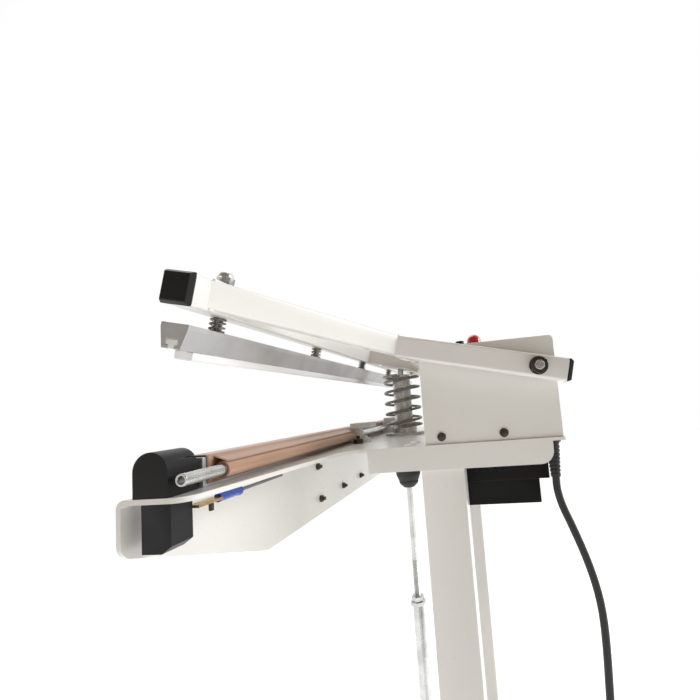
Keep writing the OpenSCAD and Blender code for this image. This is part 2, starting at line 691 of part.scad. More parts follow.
// ---- pull rod ----
module pull_rod() {
  color("silver") translate([0, rod_y, 0]) {
    translate([0, 0, adjust_z - 6]) cylinder(r = rod_r, h = bed_z + 135 - adjust_z + 6);
    translate([0, 0, bed_z - 60]) ring(sleeve_r, rod_r, 143);
    difference() {
      union() {
        translate([0, 0, joint_z + 22]) cylinder(r = 7.5, h = adjust_z - joint_z - 22);
        translate([-8, -9, joint_z - 9]) cube([16, 18, 34]);
      }
      translate([-4, -10, joint_z - 10]) cube([8, 20, 28]);
      translate([0, 0, adjust_z - 6]) cylinder(r = rod_r, h = 7);
    }
    translate([-11, 0, joint_z]) along_x() cylinder(r = 4, h = 22);
  }
}
module rod_buffer() {
  color([0.1, 0.1, 0.1]) translate([0, rod_y, bed_z - 72]) rotate_extrude()
    polygon([[rod_r, 0], [8, 0], [12, 4], [16.5, 16], [18, 34], [18, 42], [sleeve_r, 42],
      [sleeve_r, 12], [rod_r, 12]]);
}
module rod_nuts() {
  color("gray") translate([0, rod_y, 0]) {
    translate([0, 0, adjust_z]) hex_nut(19, 5, rod_r);
    translate([0, 0, adjust_z + 5]) hex_nut(15, 6, rod_r);
    translate([0, 0, bed_z + 117]) hex_nut(13, 6, rod_r);
    translate([0, 0, bed_z + 123]) hex_nut(13, 5, rod_r);
  }
}

// ---- pedal ----
module pedal_frame() {
  lug = (pedal_y - rod_y) / cos(pedal_up);
  color("ivory") in_pedal() difference() {
    union() {
      translate([-49, 0, 0]) along_x() cylinder(r = 11, h = 98);
      for (sx = [-1, 1]) translate([sx * 20 - 2.5, -205, -11]) cube([5, 205, 22]);
      translate([-22.5, -136, -11]) cube([45, 4, 22]);
      translate([-3, -lug - 14, -13]) cube([6, 32, 26]);
      translate([-22.5, -lug - 18, -11]) cube([45, 4, 22]);
      translate([-22.5, -210, -11]) cube([45, 5, 22]);
      translate([-70, -263, 11]) cube([140, 73, 3]);
      translate([-70, -263, -6]) cube([140, 3, 17]);
    }
    translate([-60, 0, 0]) along_x() cylinder(r = pedal_shaft_r + fit, h = 120);
    for (y = [-lug - 2, -lug + 6]) translate([-4, y, 0]) along_x() cylinder(r = 5, h = 8);
    translate([-4, -lug - 2, -5]) cube([8, 8, 10]);
  }
}
module pedal_pad() {
  color([0.1, 0.1, 0.1]) in_pedal() {
    translate([-66, -260, 14]) cube([132, 67, 3]);
    for (i = [0:7]) translate([-62, -256 + 8 * i, 17]) cube([124, 3, 1.5]);
  }
}

// ---- mains cord ----
module cord_gland() {
  color([0.1, 0.1, 0.1]) translate([gland_at[0], gland_at[1], 0]) {
    translate([0, 0, bed_z]) cylinder(r = 6.4, h = 3);
    translate([0, 0, bed_under]) cylinder(r = 6, h = sheet);
    translate([0, 0, bed_under - 3]) cylinder(r = 8, h = 3);
    translate([0, 0, gland_z]) cylinder(r1 = 4.6, r2 = 6.5, h = bed_under - 3 - gland_z);
  }
}
module swept_tube(path, d, sides) {
  n = len(path);
  points = [for (i = [0:n - 1]) let (
      t = unit(vsub(path[min(i + 1, n - 1)], path[max(i - 1, 0)])),
      across = [1, 0, 0] * (abs(t[0]) < 0.8 ? 1 : 0) + [0, 1, 0] * (abs(t[0]) < 0.8 ? 0 : 1),
      u = unit(cross(t, across)), v = cross(t, u))
    for (k = [0:sides - 1]) let (b = 360 * k / sides)
      path[i] + d / 2 * (cos(b) * u + sin(b) * v)];
  faces = concat([[for (k = [0:sides - 1]) k]],
    [[for (k = [0:sides - 1]) (n - 1) * sides + sides - 1 - k]],
    [for (i = [0:n - 2], k = [0:sides - 1]) let (m = (k + 1) % sides)
      [i * sides + k, (i + 1) * sides + k, (i + 1) * sides + m, i * sides + m]]);
  polyhedron(points, faces, convexity = 10);
}
function spline(p, i, t) =
  let (n = len(p), a = p[max(i - 1, 0)], b = p[i], c = p[i + 1], e = p[min(i + 2, n - 1)])
  0.5 * ((2 * b) + (c - a) * t + (2 * a - 5 * b + 4 * c - e) * t * t + (3 * b - a - 3 * c + e) * t * t * t);
module power_cord() {
  path = concat([for (i = [0:len(cord_route) - 2], t = [0, 0.5]) spline(cord_route, i, t)],
    [cord_route[len(cord_route) - 1]]);
  color([0.08, 0.08, 0.08]) swept_tube(path, cord_d, cord_sides);
}
module cord_coil() {
  color([0.1, 0.1, 0.1]) translate(coil_at) rotate_extrude()
    translate([coil_in, 0]) square([coil_out - coil_in, coil_h]);
}
module plug() {
  // moulded two-pin plug lying on the floor beside the coil
  color([0.1, 0.1, 0.1]) translate(plug_at) {
    translate([-34, -12, 0]) cube([34, 24, 17]);
    translate([0, 0, 8.5]) along_x() cylinder(r1 = 8, r2 = 4, h = 20);
    translate([-37, -15, 0]) cube([3, 30, 20]);
  }
  color("gold") for (dy = [-9.5, 9.5]) translate([plug_at[0] - 56, plug_at[1] + dy, 8.6]) along_x()
    cylinder(r = 2.4, h = 19);
}

bed_plate();
panel_screws();
post_left();
post_right();
post_bolts();
runner_left();
runner_right();
runner_caps();
rubber_feet();
rear_cross_tube();
pedal_shaft();
box_cover();
box_side_left();
box_side_right();
pivot_shaft();
pivot_nuts();
transformer_housing();
transformer_core();
transformer_coil();
timer_board();
terminal_block();
lamp_lens();
lamp_base();
power_button();
button_bezel();
timer_knob();
dial_plate();
limit_switch();
switch_lever();
lower_bar();
heater_strip();
ptfe_cloth();
roll_rod();
cloth_roll();
end_block_left();
end_block_right();
wire_clips();
roll_saddles();
guide_bush();
return_spring();
front_tube();
lever_left();
lever_right();
arm_braces();
arm_ties();
tube_caps();
pivot_bushes();
pressure_bar();
rubber_strip();
guide_screws();
pressure_springs();
pull_rod();
rod_buffer();
rod_nuts();
pedal_frame();
pedal_pad();
cord_gland();
power_cord();
cord_coil();
plug();
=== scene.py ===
"""Looks of a foot operated impulse heat sealer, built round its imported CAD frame."""
import json
import random
from math import ceil, cos, pi, radians, sin

import bmesh
import bpy
from mathutils import Matrix, Vector

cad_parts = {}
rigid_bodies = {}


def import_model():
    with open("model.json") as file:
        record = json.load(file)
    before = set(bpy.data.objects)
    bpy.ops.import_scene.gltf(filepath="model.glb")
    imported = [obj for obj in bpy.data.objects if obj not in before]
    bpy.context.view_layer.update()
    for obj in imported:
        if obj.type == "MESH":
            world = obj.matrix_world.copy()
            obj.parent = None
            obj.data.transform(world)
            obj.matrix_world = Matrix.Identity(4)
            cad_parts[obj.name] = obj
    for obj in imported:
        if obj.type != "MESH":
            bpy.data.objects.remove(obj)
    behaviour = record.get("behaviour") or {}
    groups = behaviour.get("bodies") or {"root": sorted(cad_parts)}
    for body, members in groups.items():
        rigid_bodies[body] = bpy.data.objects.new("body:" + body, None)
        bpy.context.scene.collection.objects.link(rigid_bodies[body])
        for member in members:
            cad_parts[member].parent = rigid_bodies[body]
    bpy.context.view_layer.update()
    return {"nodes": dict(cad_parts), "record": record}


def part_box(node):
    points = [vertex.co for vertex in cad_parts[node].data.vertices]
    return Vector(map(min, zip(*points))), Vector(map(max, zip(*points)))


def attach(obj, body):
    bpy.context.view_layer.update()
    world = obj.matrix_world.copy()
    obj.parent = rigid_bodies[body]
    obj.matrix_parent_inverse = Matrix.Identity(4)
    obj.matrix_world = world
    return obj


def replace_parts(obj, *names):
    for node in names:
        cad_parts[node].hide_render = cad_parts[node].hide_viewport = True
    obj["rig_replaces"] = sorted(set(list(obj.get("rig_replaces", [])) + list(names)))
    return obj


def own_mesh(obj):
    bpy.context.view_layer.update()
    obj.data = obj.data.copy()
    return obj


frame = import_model()
random.seed(7)

MM = 0.001
NODES = frame["nodes"]
BODY_OF = {n: b for b, ns in frame["record"]["behaviour"]["bodies"].items() for n in ns}
SLOT_OF = {s["node"]: s["material_slot"] for s in frame["record"]["subparts"]}


# ---- camera and studio ----
CAMERA_AT = Vector((0.5594, 0.0415, 0.8176))
CAMERA_TURN = (0.1577, 0.0957, -0.0817)
CAMERA_LENS = 20.69
CAMERA_SHIFT = (-0.1, 0.0245)


def camera():
    """Looks along the jaws from beside their right hand end."""
    yaw, pitch, roll = CAMERA_TURN
    look = Vector((-cos(yaw) * cos(pitch), -sin(yaw) * cos(pitch), sin(pitch)))
    level = Vector((-sin(yaw), cos(yaw), 0))
    rise = level.cross(look)
    right = level * cos(roll) + rise * sin(roll)
    up = rise * cos(roll) - level * sin(roll)
    data = bpy.data.cameras.new("camera")
    data.sensor_width = 36
    data.lens = CAMERA_LENS
    data.shift_x = CAMERA_SHIFT[0]
    data.shift_y = CAMERA_SHIFT[1]
    data.clip_start = 0.01
    view = bpy.data.objects.new("camera", data)
    turn = Matrix((right, up, -look)).transposed().to_4x4()
    view.matrix_world = Matrix.Translation(CAMERA_AT) @ turn
    bpy.context.scene.collection.objects.link(view)
    bpy.context.scene.camera = view


def lamp(name, place, target, size, power, tint=(1, 1, 1)):
    data = bpy.data.lights.new(name, "AREA")
    data.color = tint
    data.shape = "DISK"
    data.size = size
    data.energy = power
    light = bpy.data.objects.new(name, data)
    light.location = place
    aim = (Vector(target) - Vector(place)).to_track_quat("-Z", "Y")
    light.rotation_euler = aim.to_euler()
    bpy.context.scene.collection.objects.link(light)


def studio():
    world = bpy.data.worlds.new("studio")
    bpy.context.scene.world = world
    world.use_nodes = True
    nodes, links = world.node_tree.nodes, world.node_tree.links
    towards = nodes.new("ShaderNodeSeparateXYZ")
    links.new(nodes.new("ShaderNodeTexCoord").outputs["Generated"], towards.inputs["Vector"])
    fade = nodes.new("ShaderNodeMapRange")
    fade.inputs["From Min"].default_value = -0.45
    fade.inputs["From Max"].default_value = 0.35
    links.new(towards.outputs["X"], fade.inputs["Value"])
    sky = ramp(nodes, links, fade.outputs["Result"], (1, 1, 1), (0.25, 0.21, 0.165), 0, 1)
    links.new(sky, nodes["Background"].inputs["Color"])
    lamp("window", (-0.3, 2.3, 1.7), (0.1, 0, 0.8), 1.3, 34, (0.93, 0.96, 1))
    lamp("overhead", (-0.5, -0.5, 2.6), (0.1, -0.1, 0.8), 1.4, 10)
    bpy.ops.mesh.primitive_plane_add(size=14)
    floor = bpy.context.object
    floor.name = "floor"
    paper = plain("floor_paper", (0.93, 0.93, 0.93), (0.9, 0.9, 0.9), 0.9, 30)
    shader = paper.node_tree.nodes["Principled BSDF"]
    shader.inputs["Emission Color"].default_value = (1, 1, 1, 1)
    shader.inputs["Emission Strength"].default_value = 0.5
    floor.data.materials.append(paper)
    bpy.context.scene.view_settings.view_transform = "Standard"


# ---- materials ----
def material(name):
    made = bpy.data.materials.new(name)
    made.use_nodes = True
    return made, made.node_tree.nodes, made.node_tree.links


def noise(nodes, links, coords, scale, detail=4.0, stretch=(1, 1, 1)):
    place = nodes.new("ShaderNodeMapping")
    place.inputs["Scale"].default_value = stretch
    links.new(coords, place.inputs["Vector"])
    out = nodes.new("ShaderNodeTexNoise")
    out.inputs["Scale"].default_value = scale
    out.inputs["Detail"].default_value = detail
    links.new(place.outputs["Vector"], out.inputs["Vector"])
    return out.outputs["Fac"]


def ramp(nodes, links, factor, low, high, start=0.35, end=0.65):
    out = nodes.new("ShaderNodeValToRGB")
    out.color_ramp.elements[0].position = start
    out.color_ramp.elements[1].position = end
    out.color_ramp.elements[0].color = (*low, 1)
    out.color_ramp.elements[1].color = (*high, 1)
    links.new(factor, out.inputs["Fac"])
    return out.outputs["Color"]


def spread(nodes, links, factor, low, high):
    out = nodes.new("ShaderNodeMapRange")
    out.inputs["From Min"].default_value = 0.3
    out.inputs["From Max"].default_value = 0.7
    out.inputs["To Min"].default_value = low
    out.inputs["To Max"].default_value = high
    links.new(factor, out.inputs["Value"])
    return out.outputs["Result"]


def bump(nodes, links, factor, strength, depth):
    out = nodes.new("ShaderNodeBump")
    out.inputs["Strength"].default_value = strength
    out.inputs["Distance"].default_value = depth
    links.new(factor, out.inputs["Height"])
    return out.outputs["Normal"]


def plain(name, dark, light, rough, scale, **more):
    """A surface with mottled colour, uneven gloss and a fine bump, in the row frame's metres."""
    made, nodes, links = material(name)
    shader = nodes["Principled BSDF"]
    coords = nodes.new("ShaderNodeTexCoord").outputs["Object"]
    stretch = more.get("stretch", (1, 1, 1))
    broad = noise(nodes, links, coords, more.get("mottle", 9), 5)
    fine = noise(nodes, links, coords, scale, 3, stretch)
    links.new(ramp(nodes, links, broad, dark, light), shader.inputs["Base Color"])
    change = more.get("uneven", 0.06)
    links.new(spread(nodes, links, fine, rough - change, rough + change), shader.inputs["Roughness"])
    links.new(bump(nodes, links, fine, more.get("strength", 0.2), more.get("depth", 0.0002)),
              shader.inputs["Normal"])
    shader.inputs["Metallic"].default_value = more.get("metallic", 0)
    shader.inputs["Coat Weight"].default_value = more.get("coat", 0)
    shader.inputs["Coat Roughness"].default_value = 0.12
    shader.inputs["Specular IOR Level"].default_value = more.get("specular", 0.5)
    return made


def cloth_material():
    """Coated glass cloth: a fine plain weave under a smooth brown coat."""
    made, nodes, links = material("ptfe_cloth")
    shader = nodes["Principled BSDF"]
    coords = nodes.new("ShaderNodeTexCoord").outputs["Object"]
    threads = []
    for direction in ("X", "Y"):
        wave = nodes.new("ShaderNodeTexWave")
        wave.bands_direction = direction
        wave.inputs["Scale"].default_value = 420
        wave.inputs["Distortion"].default_value = 0.4
        links.new(coords, wave.inputs["Vector"])
        threads.append(wave.outputs["Fac"])
    both = nodes.new("ShaderNodeMath")
    both.operation = "MULTIPLY"
    links.new(threads[0], both.inputs[0])
    links.new(threads[1], both.inputs[1])
    stain = noise(nodes, links, coords, 26, 5, (0.25, 1, 1))
    base = ramp(nodes, links, stain, (0.42, 0.235, 0.150), (0.56, 0.345, 0.235))
    links.new(base, shader.inputs["Base Color"])
    links.new(spread(nodes, links, stain, 0.28, 0.42), shader.inputs["Roughness"])
    links.new(bump(nodes, links, both.outputs["Value"], 0.25, 0.0001), shader.inputs["Normal"])
    shader.inputs["Sheen Weight"].default_value = 0.15
    return made


def silicone_material():
    made = plain("silicone", (0.80, 0.80, 0.81), (0.88, 0.88, 0.88), 0.42, 500, depth=0.00005)
    shader = made.node_tree.nodes["Principled BSDF"]
    shader.inputs["Subsurface Weight"].default_value = 0.35
    shader.inputs["Subsurface Radius"].default_value = (0.004, 0.004, 0.004)
    shader.inputs["Subsurface Scale"].default_value = 1.0
    return made


def lens_material():
    made = plain("red_lens", (0.55, 0.004, 0.008), (0.75, 0.012, 0.016), 0.12, 300,
                 coat=0.8, uneven=0.02, depth=0.00005)
    shader = made.node_tree.nodes["Principled BSDF"]
    shader.inputs["Transmission Weight"].default_value = 0.35
    return made


MATERIALS = {
    "cream_paint": plain("cream_paint", (0.800, 0.785, 0.745), (0.845, 0.832, 0.800), 0.30, 420,
                         coat=0.35, depth=0.00008, strength=0.05, mottle=5, uneven=0.03),
    "zinc_steel": plain("zinc_steel", (0.56, 0.57, 0.57), (0.72, 0.73, 0.73), 0.27, 900,
                        metallic=1, depth=0.00004, mottle=60, uneven=0.09),
    "dark_steel": plain("dark_steel", (0.045, 0.036, 0.030), (0.10, 0.085, 0.07), 0.36, 700,
                        metallic=0.9, depth=0.00006, mottle=90, uneven=0.09),
    "spring_steel": plain("spring_steel", (0.20, 0.18, 0.16), (0.34, 0.32, 0.29), 0.33, 900,
                          metallic=0.9, depth=0.00005, mottle=120, uneven=0.08),
    "black_plastic": plain("black_plastic", (0.006, 0.006, 0.007), (0.012, 0.012, 0.014), 0.42,
                           1500, depth=0.00008, strength=0.25, uneven=0.05, specular=0.3),
    "black_paint": plain("black_paint", (0.004, 0.004, 0.004), (0.008, 0.008, 0.008), 0.36, 600,
                         specular=0.15, depth=0.0001, uneven=0.06),
    "black_rubber": plain("black_rubber", (0.012, 0.012, 0.012), (0.022, 0.022, 0.023), 0.58,
                          1100, depth=0.00012, strength=0.3, uneven=0.08),
    "bar_aluminium": plain("bar_aluminium", (0.50, 0.50, 0.50), (0.60, 0.60, 0.60), 0.45, 700,
                           metallic=0.55, stretch=(0.04, 1, 1), depth=0.00005, mottle=30),
    "ptfe_cloth": cloth_material(),
    "silicone": silicone_material(),
    "white_nylon": plain("white_nylon", (0.80, 0.80, 0.78), (0.87, 0.87, 0.85), 0.45, 900,
                         depth=0.00008),
    "brass": plain("brass", (0.50, 0.32, 0.13), (0.68, 0.48, 0.22), 0.30, 700, metallic=1,
                   depth=0.00005, mottle=90, uneven=0.08),
    "red_lens": lens_material(),
    "board_green": plain("board_green", (0.012, 0.09, 0.035), (0.02, 0.13, 0.05), 0.3, 500,
                         coat=0.5, depth=0.00005),
}
BLUE = plain("blue_vinyl", (0.010, 0.045, 0.30), (0.018, 0.085, 0.46), 0.32, 900, coat=0.3,
             depth=0.00006)
LEAD = plain("lead_sheath", (0.10, 0.10, 0.11), (0.17, 0.17, 0.18), 0.4, 900, depth=0.00006)
MARK = plain("mark_white", (0.72, 0.72, 0.70), (0.82, 0.82, 0.80), 0.5, 800, depth=0.00004)


# ---- mesh helpers ----
def finish_mesh(bm, name, sharp=38):
    bmesh.ops.recalc_face_normals(bm, faces=bm.faces)
    mesh = bpy.data.meshes.new(name)
    bm.to_mesh(mesh)
    bm.free()
    for polygon in mesh.polygons:
        polygon.use_smooth = True
    mesh.set_sharp_from_angle(angle=radians(sharp))
    return mesh


def piece(name, mesh, body, slot, nodes=(), paint=None):
    """Links a mesh made in the row frame as a piece that rides on a body."""
    made = bpy.data.objects.new(name, mesh)
    bpy.context.scene.collection.objects.link(made)
    mesh.materials.clear()
    mesh.materials.append(paint or MATERIALS[slot])
    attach(made, body)
    if nodes:
        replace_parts(made, *nodes)
    return made


def soften(made, width, segments=2):
    """Rounds the sharp edges of a piece, by a width in millimetres."""
    edge = made.modifiers.new("rounded_edges", "BEVEL")
    edge.width = width * MM
    edge.segments = segments
    edge.limit_method = "ANGLE"
    edge.angle_limit = radians(40)
    edge.harden_normals = True
    edge.miter_outer = "MITER_ARC"


LONG_EDGE = 60


def dressed(node, edge=0.4, corner=0.0):
    """A copy of a CAD node with rounded edges; corner rounds its long outer edges more."""
    bm = bmesh.new()
    bm.from_mesh(NODES[node].data)
    bmesh.ops.remove_doubles(bm, verts=bm.verts, dist=0.000005)
    bmesh.ops.dissolve_limit(bm, angle_limit=radians(0.6), verts=bm.verts, edges=bm.edges)
    bmesh.ops.recalc_face_normals(bm, faces=bm.faces)
    if corner:
        long_edges = [e for e in bm.edges if len(e.link_faces) == 2
                      and e.calc_length() > LONG_EDGE * MM
                      and e.calc_face_angle_signed(0) > radians(60)]
        bmesh.ops.bevel(bm, geom=long_edges, offset=corner * MM, segments=3, profile=0.5,
                        affect="EDGES", clamp_overlap=True)
    made = piece(node + "_skin", finish_mesh(bm, node + "_skin", 36), BODY_OF[node], SLOT_OF[node],
                 (node,))
    if edge:
        soften(made, edge)
    return made


def islands(mesh):
    """Lists of polygon indices, one for each loose part."""
    owner = list(range(len(mesh.vertices)))

    def root(i):
        while owner[i] != i:
            owner[i] = owner[owner[i]]
            i = owner[i]
        return i

    for polygon in mesh.polygons:
        first = root(polygon.vertices[0])
        for other in polygon.vertices[1:]:
            owner[root(other)] = first
    found = {}
    for polygon in mesh.polygons:
        found.setdefault(root(polygon.vertices[0]), []).append(polygon.index)
    return list(found.values())


def paint_parts(made, chooser):
    """Gives each loose part of a piece its own material: chooser takes its size in millimetres."""
    mesh = made.data
    for group in islands(mesh):
        points = [mesh.vertices[v].co for p in group for v in mesh.polygons[p].vertices]
        least = [min(p[i] for p in points) / MM for i in range(3)]
        most = [max(p[i] for p in points) / MM for i in range(3)]
        chosen = chooser([most[i] - least[i] for i in range(3)])
        if chosen is None:
            continue
        if chosen.name not in mesh.materials:
            mesh.materials.append(chosen)
        number = mesh.materials.find(chosen.name)
        for p in group:
            mesh.polygons[p].material_index = number


def grid_mesh(bm, rings, closed_ring=True, caps=True):
    """Skins rows of points; each ring has the same number of points."""
    rows = [[bm.verts.new(p) for p in ring] for ring in rings]
    count = len(rows[0])
    for lower, upper in zip(rows, rows[1:]):
        for k in range(count if closed_ring else count - 1):
            m = (k + 1) % count
            bm.faces.new((lower[k], lower[m], upper[m], upper[k]))
    if caps:
        bm.faces.new(rows[0])
        bm.faces.new(list(reversed(rows[-1])))
    return rows


def lathed(bm, profile, at, matrix=Matrix.Identity(4), sides=48):
    """Turns (radius, height) pairs in millimetres round the local Z axis."""
    rings = [[matrix @ (Vector(at) * MM + Vector((max(r, 0.01) * cos(2 * pi * k / sides),
                                                  max(r, 0.01) * sin(2 * pi * k / sides), h)) * MM)
              for k in range(sides)] for r, h in profile]
    grid_mesh(bm, rings)


def swept(bm, path, radius, sides=12):
    """A round tube along points in metres; radius may be a function of the point's number."""
    n = len(path)
    tangents = [(path[min(i + 1, n - 1)] - path[max(i - 1, 0)]).normalized() for i in range(n)]
    side = tangents[0].orthogonal().normalized()
    rings = []
    for i in range(n):
        side = (side - tangents[i] * side.dot(tangents[i])).normalized()
        other = tangents[i].cross(side)
        r = radius(i) if callable(radius) else radius
        rings.append([path[i] + (side * cos(2 * pi * k / sides) + other * sin(2 * pi * k / sides)) * r
                      for k in range(sides)])
    grid_mesh(bm, rings)


def thread(bm, at, length, radius, pitch, depth, matrix=Matrix.Identity(4), sides=24, steps=6):
    """A real helical thread on a rod that runs up from the point at, in millimetres."""
    rings = []
    count = int(ceil(length / pitch * steps))
    for i in range(count + 1):
        z = min(length, i * pitch / steps)
        ring = []
        for k in range(sides):
            turn = (z / pitch - k / sides) % 1
            r = radius - depth * (1 - abs(2 * turn - 1))
            a = 2 * pi * k / sides
            ring.append(matrix @ (Vector((at[0] + r * cos(a), at[1] + r * sin(a), at[2] + z)) * MM))
        rings.append(ring)
    grid_mesh(bm, rings)


# ---- places taken from the frame ----
def middle(node):
    low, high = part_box(node)
    return (low + high) / 2 / MM


def low(node):
    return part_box(node)[0] / MM


def high(node):
    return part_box(node)[1] / MM


PIVOT = Vector((0, 88, 844))
OPEN = 13.7
ARM = Matrix.Translation(PIVOT * MM) @ Matrix.Rotation(radians(-OPEN), 4, "X")
BED = high("bed_plate").z
ROD_Y = middle("rod_buffer").y
PRESS_Y = -223
STUD_X = (-318, -159, 0, 159, 318)


# ---- mains cord: hangs down the back to a coil on the floor ----
ROUTE = ((160, 98, 742), (160, 98, 730), (160, 101, 715), (160, 108, 695), (160, 116, 670),
         (160, 122, 645), (160, 125, 620), (160, 125, 590), (160, 123, 550), (160, 121, 510),
         (159, 120, 460), (156, 121, 400), (152, 124, 340), (147, 129, 280), (141, 135, 220),
         (135, 141, 165), (130, 147, 120), (125, 154, 84), (119, 163, 58), (112, 176, 41),
         (104, 192, 33), (93.3, 211.8, 30.4))
CORD_D = 7
COIL = Vector((60, 192.5, 0))
COIL_R = 38.5
COIL_TURNS = 4 + 1 / 6
COIL_STEPS = 20


def ease(x):
    x = min(1, max(0, x))
    return x * x * (3 - 2 * x)


def coil_point(left):
    """A point of the coil, by the turns that are left before the plug."""
    angle = radians(30 + 360 * (COIL_TURNS - left))
    radius = COIL_R + 7.5 * ease((0.5 - left) / 0.3)
    height = 3.6 + 7.3 * max(0, left - 0.5) + 5 * ease((0.2 - left) / 0.2)
    return COIL + Vector((radius * cos(angle), radius * sin(angle), height))


def smooth_route(points, parts=3):
    """Catmull-Rom points through a given route."""
    p = [Vector(q) for q in points]
    out = []
    for i in range(len(p) - 1):
        a, b, c, e = p[max(i - 1, 0)], p[i], p[i + 1], p[min(i + 2, len(p) - 1)]
        for j in range(parts):
            t = j / parts
            out.append(0.5 * (2 * b + (c - a) * t + (2 * a - 5 * b + 4 * c - e) * t * t
                              + (3 * b - a - 3 * c + e) * t * t * t))
    return out + [p[-1]]


def mains_cord():
    turns = int(COIL_TURNS * COIL_STEPS)
    path = smooth_route(ROUTE)
    path += [coil_point(COIL_TURNS * (1 - k / turns)) for k in range(1, turns + 1)]
    path = [p * MM for p in path]
    bm = bmesh.new()
    swept(bm, path, CORD_D / 2 * MM, 14)
    cord = piece("mains_cord", finish_mesh(bm, "mains_cord", 60), BODY_OF["power_cord"],
                 "black_rubber", ("power_cord", "cord_coil"))
    moulded_plug()
    coil_tie()


def moulded_plug():
    made = dressed("plug", 1.2)
    brass = MATERIALS["brass"]
    paint_parts(made, lambda size: brass if size[1] < 6 else None)
    return made


def coil_tie():
    """A twist tie round the stacked turns."""
    angle = radians(250)
    out = Vector((cos(angle), sin(angle), 0))
    half_wide, half_tall, centre_z, steps = 4.9, 16.3, 17.6, 32
    loop = []
    for k in range(steps + 1):
        a = 2 * pi * k / steps
        across, tall = half_wide * cos(a), half_tall * sin(a)
        loop.append((COIL + out * (COIL_R + across) + Vector((0, 0, centre_z + tall))) * MM)
    bm = bmesh.new()
    swept(bm, loop, 1.1 * MM, 8)
    return piece("coil_tie", finish_mesh(bm, "coil_tie", 60), BODY_OF["cord_coil"], "black_rubber",
                 paint=MARK)


def strain_relief():
    """A ribbed, tapered sleeve under the bed where the cord comes out."""
    x, y = middle("cord_gland").x, middle("cord_gland").y
    profile = [(3.6, 742), (4.4, 742)]
    for i in range(8):
        z = 743 + 3.6 * i
        r = 4.5 + 0.24 * i
        profile += [(r, z), (r, z + 2.2), (r - 0.55, z + 2.5), (r - 0.55, z + 3.3)]
    profile += [(6.5, 772.6), (6.5, 774), (8, 774), (8, 776.6), (7.6, 777), (6, 777), (6, 780),
                (6.4, 780), (6.4, 782.4), (5.9, 783), (3.6, 783)]
    bm = bmesh.new()
    lathed(bm, profile, (x, y, 0))
    piece("strain_relief", finish_mesh(bm, "strain_relief", 30), "stand", "black_rubber",
          ("cord_gland",))


# ---- springs ----
def coil_path(radius, wire, z0, z1, turns, at, matrix=Matrix.Identity(4), steps=26, flat=0.8):
    """A compression spring's wire: its end turns close up and lie flat."""
    path = []
    count = int(turns * steps)
    open_turns = turns - 2 * flat
    closed = wire * 0.98
    for i in range(count + 1):
        t = i / steps
        if t < flat:
            z = closed * t
        elif t > turns - flat:
            z = (z1 - z0 - wire) - closed * (turns - t)
        else:
            rise = (z1 - z0 - wire) - 2 * closed * flat
            z = closed * flat + rise * (t - flat) / open_turns
        a = 2 * pi * t
        path.append(matrix @ (Vector((at[0] + radius * cos(a), at[1] + radius * sin(a),
                                      z0 + wire / 2 + z)) * MM))
    return path


def return_spring():
    z0, z1 = low("return_spring").z, high("return_spring").z
    bm = bmesh.new()
    swept(bm, coil_path(24, 3.6, z0, z1, 6, (0, ROD_Y)), 1.8 * MM)
    made = piece("return_spring_wire", finish_mesh(bm, "return_spring_wire", 60),
                 BODY_OF["return_spring"], "spring_steel", ("return_spring",))
    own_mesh(made)


def pressure_springs():
    for i, x in enumerate(STUD_X):
        bm = bmesh.new()
        swept(bm, coil_path(4.6, 1.4, -20, -10, 3.4, (x, PRESS_Y), ARM, 20, 0.6), 0.7 * MM, 10)
        nodes = ("pressure_springs",) if i == 0 else ()
        made = piece("pressure_spring_%d" % i, finish_mesh(bm, "pressure_spring", 60), "arm",
                     "spring_steel", nodes)
        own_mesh(made)


# ---- threads, screw heads and nuts ----
def threads():
    bm = bmesh.new()
    for x in STUD_X:
        thread(bm, (x, PRESS_Y, -20), 9.9, 3.32, 1, 0.32, ARM)
    piece("stud_threads", finish_mesh(bm, "stud_threads", 20), "pressure_bar", "zinc_steel")
    bm = bmesh.new()
    thread(bm, (0, ROD_Y, high("rod_nuts").z - 14), 19, 4.32, 1.25, 0.3)
    thread(bm, (0, ROD_Y, low("rod_nuts").z + 6), 52, 4.32, 1.25, 0.3)
    piece("rod_threads", finish_mesh(bm, "rod_threads", 20), "pull_rod", "zinc_steel")
    bm = bmesh.new()
    end = high("pivot_shaft").x
    for side in (-1, 1):
        turn = Matrix.Translation(Vector((side * (end - 9), PIVOT.y, PIVOT.z)) * MM)
        turn = turn @ Matrix.Rotation(radians(90 * side), 4, "Y")
        thread(bm, (0, 0, 0), 8.8, 4.3, 1.25, 0.3, turn)
    piece("shaft_threads", finish_mesh(bm, "shaft_threads", 20), "stand", "zinc_steel")


